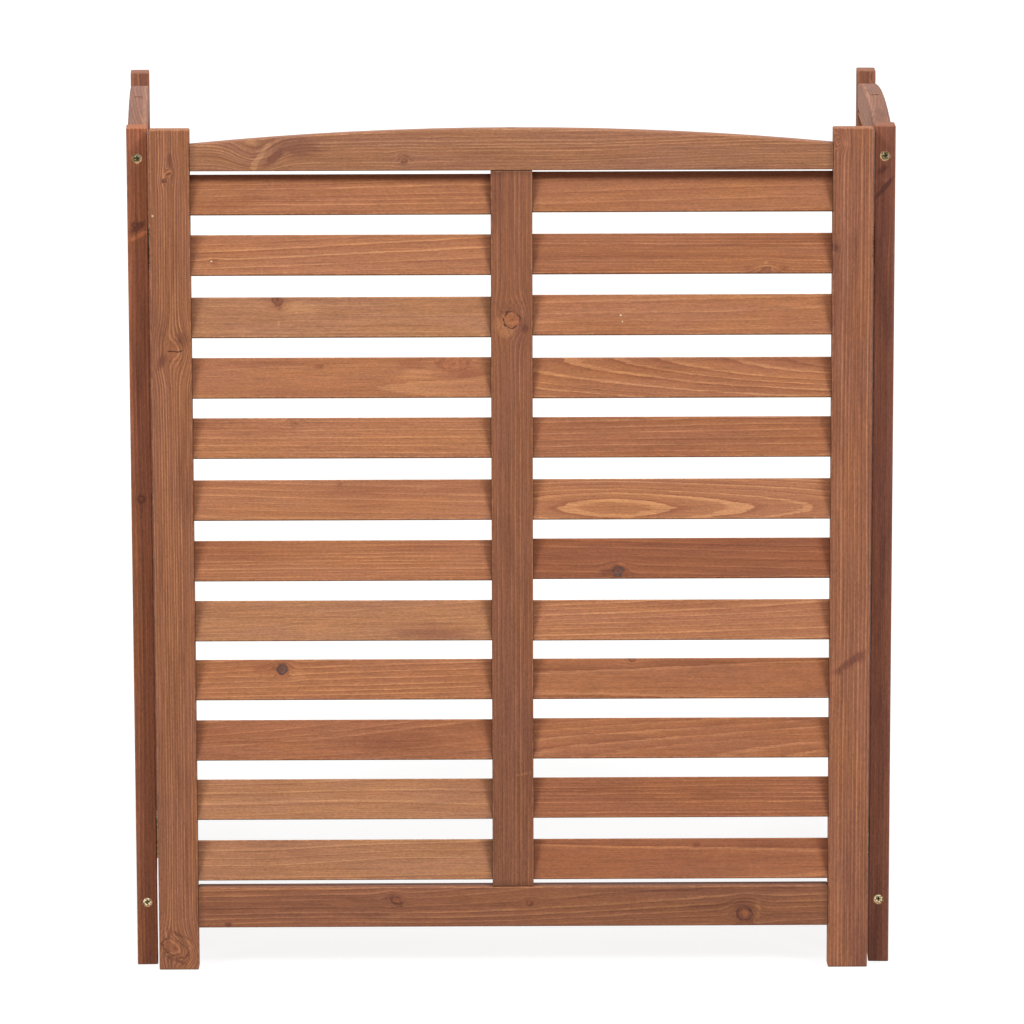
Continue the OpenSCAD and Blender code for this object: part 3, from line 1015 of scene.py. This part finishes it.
LEFT_LOUVRES = (
    # The patch along this top louvre's upper edge is painted shadow of the top rail
    Grain(AMBER, 1.3, ring=5.6, wave=9, drift=0.012, bold=0.7, patches=(Patch(0, 23, 7, 60, 1.3),)),
    Grain(HONEY, 2.9, ring=8, drift=0.055, wave=6, broken=0.2,
        knots=(Knot(-157, -9, 2.6, 1.6, 0.9, 0.5, 0.3, 0, 0.8),), dots=(Dot(-161, -8, 1.1),)),
    Grain(STRAW, 4.1, ring=8, bold=0.3,
        knots=(Knot(-79, 22, 8.6, 0.8, 0.68, 0.95, hollow=0),
            Knot(-77, 12, 3.6, 1, 0.5, 0.8, 1, 0, 0.2, 0.8, 0)),
        patches=(Patch(-79, 17, 8, 0.8, 1.4), Patch(-50, 10, 15, 1.8, -0.9), Patch(-78, -8, 4, 0.6, -1))),
    Grain(HONEY, 5.7, cut=Cut.FLAT, ring=9, off=(-12, 4), drift=-0.02, wave=8, bold=0.42,
        knots=(Knot(141, 17, 9, 1.8, 0.45, 0.55, 0.8, 0, 0, 0.8, 0),),
        patches=(Patch(140, 16, 13, 1.8, 1.6), Patch(164, 4, 9, 2.4, 0.8), Patch(-28, 14, 4, 2, 1.1),
            Patch(92, 3, 8, 3.6, -1.1), Patch(88, 18, 7, 3, 0.5))),
    Grain(HONEY, 6.3, ring=3.8, wave=7, bold=0.65, late=0.9,
        knots=(Knot(-58, 23, 5, 1.4, 0.3, 0.2, 2.4, 0, 0.3),), patches=(Patch(-60, 18, 7, 1, 0.6),)),
    Grain(HONEY, 7.9, ring=7, drift=-0.03, bold=0.35, patches=(Patch(-4, 20, 5, 0.8, 0.6),)),
    Grain(AMBER, 8.2, ring=3.6, bold=0.6, broken=0.6, late=0.9),
    Grain(STRAW, 9.4, ring=3.8, drift=0.06, bold=0.5, broken=0.6, late=0.9,
        patches=(Patch(110, -16, 14, 4, 0.8),)),
    Grain(AMBER, 10.6, ring=5.4, drift=0.035, wave=8, late=1,
        knots=(Knot(-78, 13, 6.8, 1.05, 1, 1, 2.2, 0, 0.7),),
        patches=(Patch(-58, 6, 8, 1.6, -0.8), Patch(-100, 14, 9, 2.4, 0.5))),
    Grain(RUSSET, 11.8, ring=7, drift=0.1, wave=8, bold=0.6, late=1.4, patches=(Patch(70, -4, 18, 5),)),
    Grain(STRAW, 12.5, ring=9, drift=0.01, wave=14, bold=0.6, broken=0.2, late=1.1, rough=0.9),
    Grain(FAWN, 13.1, ring=9, drift=0.03, wave=18, broken=0.15, late=1.1, rough=1),
)
RIGHT_LOUVRES = (
    # The patch along this top louvre's upper edge is painted shadow of the top rail
    Grain(AMBER, 21.3, ring=12, drift=0.02, wave=10, bold=0.35, broken=0.2, late=1.3,
        patches=(Patch(0, 23, 7, 60, 1.3),)),
    Grain(RUSSET, 22.9, ring=3.2, bold=0.6, late=0.8,
        knots=(Knot(104, -26, 7.8, 1.15, 0.56, 1, 2, 0, 0.6, 0.8, 0),),
        patches=(Patch(104, -24, 12, 1.2, -2.4), Patch(104, -12, 3, 1, -1.4), Patch(127, -20, 4, 1.6),
            Patch(84, -20, 4, 2.2, 0.5))),
    Grain(HONEY, 23.1, ring=9, drift=0.02, wave=12, bold=0.4, dots=(Dot(-77, -1, 1.1), Dot(-75, -9, 0.9))),
    Grain(AMBER, 24.7, cut=Cut.FLAT, ring=6, off=(30, 10), drift=-0.08, wave=6, bold=0.9, broken=0.2,
        rough=2.4, late=1),
    Grain(RUSSET, 25.3, ring=6.4, drift=0.015, wave=8, bold=0.75),
    Grain(HONEY, 26.9, cut=Cut.FLAT, ring=4.2, off=(-13, 26), drift=0.05, ridge=-86, wave=4, bold=1,
        broken=0.05, rough=1.9, late=0.8),
    Grain(UMBER, 27.2, ring=8, drift=-0.03, bold=0.6,
        knots=(Knot(-80, -17, 7, 1.1, 1, 1, 2, 0, 0.6),),
        patches=(Patch(-76, -7, 3, 2, -1.5, -0.6), Patch(-96, -18, 6, 1.4, 0.9))),
    Grain(HONEY, 28.4, ring=5.2, drift=0.045, wave=6, bold=0.85, broken=0.25, late=1),
    Grain(RUSSET, 29.6, cut=Cut.FLAT, ring=9, off=(-5, 2), drift=-0.012, wave=4, bold=0.7, broken=0.3,
        late=0.9, knots=(Knot(-62, 25, 4.5, 1.2, 0.8, 0.8, 1.2),)),
    Grain(RUSSET, 30.8, cut=Cut.FLAT, ring=6, off=(-34, 4), drift=-0.06, wave=6, bold=0.65, rough=3.4),
    Grain(CHESTNUT, 31.5, ring=3.8, wave=6, late=0.9),
    Grain(CHESTNUT, 32.1, cut=Cut.FLAT, ring=9, off=(-7, 2), drift=0.014, wave=4, bold=0.75, broken=0.25,
        late=0.9, patches=(Patch(20, 17, 5, 1.2, 0.8),)),
)
FRONT_BOARDS = {
    "left_stile": Grain(POST_BROWN, 41, cut=Cut.QUARTER, ring=3.2, bold=0.9, broken=0.45, fade=0.12,
        late=0.9, hair=1,
        knots=(Knot(258, 4, 13, 1, 0.25, 0.3, 1.8, 1, 0.2),
            Knot(480, 0, 5, 1.1, 0.15, 0.7, 2.4, 0.7, 0.2, 0.8, 0, 0.5),
            Knot(471, -6, 3, 0.7, 0.9, 0.9, 1.4, 0, 0.8),
            Knot(-507, -5, 17.5, 0.6, 0.4, 0.25, 3.4, 0, 0.7, lean=-0.4)),
        patches=(Patch(272, 14, 9, 1.6, 0.8), Patch(246, -12, 7, 1.4, 0.9, 0.8),
            Patch(280, -2, 5, 1.2, -0.9, -0.8), Patch(497, 1, 4, 2.4, 0.9),
            Patch(-490, 2, 16, 0.2, 0.9, -0.5), Patch(-523, -2, 14, 0.2, 0.9, -0.4),
            Patch(-497, 11, 8, 0.25, -1.5, -1.1), Patch(-507, -5, 2, 1, 1.5), Patch(-507, 14, 3, 1, -1.2)),
        dots=(Dot(428, -21, 1.2),)),
    "right_stile": Grain(POST_WARM, 42, cut=Cut.QUARTER, ring=4.5, bold=1, broken=0.3, fade=0.07, late=1.5,
        hair=0.9, knots=(Knot(519, -18, 5.6, 1.3, 0, 0.25, 3.2, 0, 0, 0.5), Knot(386, -22, 3.6, 1.2, 0.9)),
        patches=(Patch(-139, 2, 22, 0.3, 1.3, 0.66), Patch(-134, 12, 9, 0.9), Patch(-153, -14, 8, 0.8),
            Patch(516, -10, 4, 1.6, -1))),
    "top_rail": Grain(RAIL_TOP, 43, ring=3, drift=0.02, wave=9, bold=0.5, late=0.8,
        knots=(Knot(-133, -12, 5, 0.9, 0.5, 0.8, 1.4), Knot(-318, -34, 21, 0.6, 0.3, 0.1, 0.6, 0, 0, -1.2)),
        patches=(Patch(-294, -8, 13, 0.7, 1.4, 0.8), Patch(-262, 2, 15, 2.4, 0.8),
            Patch(-311, -6, 19, 0.26, -2.4, 0.68), Patch(-319, -19, 6, 0.7, -2.4),
            Patch(-322, 9, 4, 2.4, -1.2, -0.8))),
    "bottom_rail": Grain(RAIL_LOW, 44, ring=5.8, drift=0.03, wave=14, bold=0.65, fade=-0.15,
        knots=(Knot(21, 5, 4, 1.2, 0.6), Knot(-149, 9, 5.6, 1.2, 0.75, 0.9, 2, 0, 1, 0.8, 0.8, -0.5),
            Knot(294, -10, 10, 1, 0.78, 1, 3, 0, 1, 0.8, 0.85)),
        patches=(Patch(294, -10, 15, 1.2, 0.2), Patch(311, -4, 16, 0.25, -1.2), Patch(-143, 5, 3, 1.2, 1),
            Patch(-362, -23, 4, 1.4, 1.4), Patch(-150, -12, 5, 3, -0.8, 1.5))),
    "mullion": Grain(MULLION_BROWN, 45, cut=Cut.QUARTER, ring=5.2, bold=0.72, fade=0.23, hair=0.7,
        knots=(Knot(269, 0, 10.8, 1, 0.2, 1, 4.4, 0, 1),),
        patches=(Patch(261, -8, 14, 1, -3), Patch(258, 16, 6, 1, 0.9), Patch(276, 14, 4, 2, -0.7, -0.6),
            Patch(-309.5, 14.5, 12, 0.13, -3, 0.17))),
}
LEFT_BOARDS = {
    "front_stile": Grain(EDGE_LEFT, 51, ring=3.8, bold=0.35, broken=0.6, fade=0.3, late=0.9,
        knots=(Knot(414, -4, 3.4, 1, 0.8, 1, 1, 0, 0.8, on_edge=True),
            Knot(67, 0, 3, 1.2, 0.8, 0.8, 1, on_edge=True)),
        patches=(Patch(411, 0, 11, 0.5, 1.5, 0.6, True), Patch(400, 1, 14, 0.24, -3.2, 0.5, True),
            Patch(67, 0, 7, 0.8, 0.8, 0, True))),
    "rear_stile": Grain(POST_ROSE, 52, cut=Cut.QUARTER, ring=3.8, knots=(Knot(-120, 6, 8, 1.2),)),
    # The pale patch along the inner side of this rail is painted sheen
    "top_rail": Grain(WING_RAIL, 53, ring=3, drift=0.02, wave=6, bold=0.08, late=0.8,
        patches=(Patch(0, -16, 11, 200, -1, 0, True),)),
    "bottom_rail": Grain(RAIL_LOW, 54, ring=5.2, knots=(Knot(160, -6, 7),)),
    "mullion": Grain(MULLION_BROWN, 55, cut=Cut.QUARTER, ring=3.8),
}
RIGHT_BOARDS = {
    "front_stile": Grain(EDGE_RIGHT, 61, ring=4, bold=0.4, broken=0.6, fade=0.26, late=0.9,
        patches=(Patch(458, 0, 15, 0.35, 1.3, -1.1, True), Patch(467, 0, 4, 0.7, -1.3, 0, True),
            Patch(480, 3, 8, 0.7, 0.8, -0.5, True))),
    "rear_stile": Grain(POST_ROSE, 62, cut=Cut.QUARTER, ring=3.8),
    # The pale patch along the inner side of this rail is painted sheen
    "top_rail": Grain(WING_RAIL, 63, ring=3, drift=-0.02, wave=6, bold=0.08, late=0.8,
        patches=(Patch(0, -16, 11, 200, -1, 0, True),)),
    "bottom_rail": Grain(RAIL_LOW, 64),
    "mullion": Grain(MULLION_BROWN, 65, cut=Cut.QUARTER, ring=3.8, knots=(Knot(-210, 4, 9, dark=0.3),)),
}
WING_BAYS = {
    "front_louvres": Grain(HONEY, 71, ring=5.2, rough=2.2, bold=0.7),
    "rear_louvres": Grain(HONEY, 83, ring=6, rough=2.2, bold=0.7),
}
HINGE_PARTS = ("front_leaves", "wing_leaves", "pins", "front_screws", "wing_screws")


def make_wing(side: str, mirror: int, grains: dict[str, Grain], shop: Workshop) -> Panel:
    """A wing, turned by the range of its joint that is left until it is in line with the front."""
    limit = next(j["range_deg"][1] for j in frame["joints"] if j["name"] == f"{side}_wing_hinge")
    turn = math.radians(180 - limit)
    along = Vector((-math.cos(turn), mirror * math.sin(turn), 0))
    return Panel(f"{side}_wing_", along, grains, shop)


def main() -> None:
    """Dresses the whole screen and builds the studio round it."""
    logging.basicConfig(level=logging.INFO, format="%(name)s: %(message)s")
    shop = Workshop()
    plated = shop.metal("yellow zinc plating", 0.0)
    # The hinges are darkened so that their barrels, seen in the gaps between the panels, read as shade:
    # painted shade
    shade_darkened_plating = shop.metal("aged zinc plating", 0.75)
    front = Panel("front_", Vector((1, 0, 0)), FRONT_BOARDS, shop)
    wings = make_wing("left", -1, LEFT_BOARDS, shop), make_wing("right", 1, RIGHT_BOARDS, shop)
    for panel in (front, *wings):
        panel.dress_boards()
        panel.dress_screws()
    front.dress_each("left", LEFT_LOUVRES)
    front.dress_each("right", RIGHT_LOUVRES)
    for wing in wings:
        wing.dress_bays()
    for side in ("left", "right"):
        for end in HINGE_PARTS:
            dress(f"{side}_hinge_{end}", plated if "screws" in end else shade_darkened_plating)
    Studio().build()


if __name__ == "__main__":
    main()
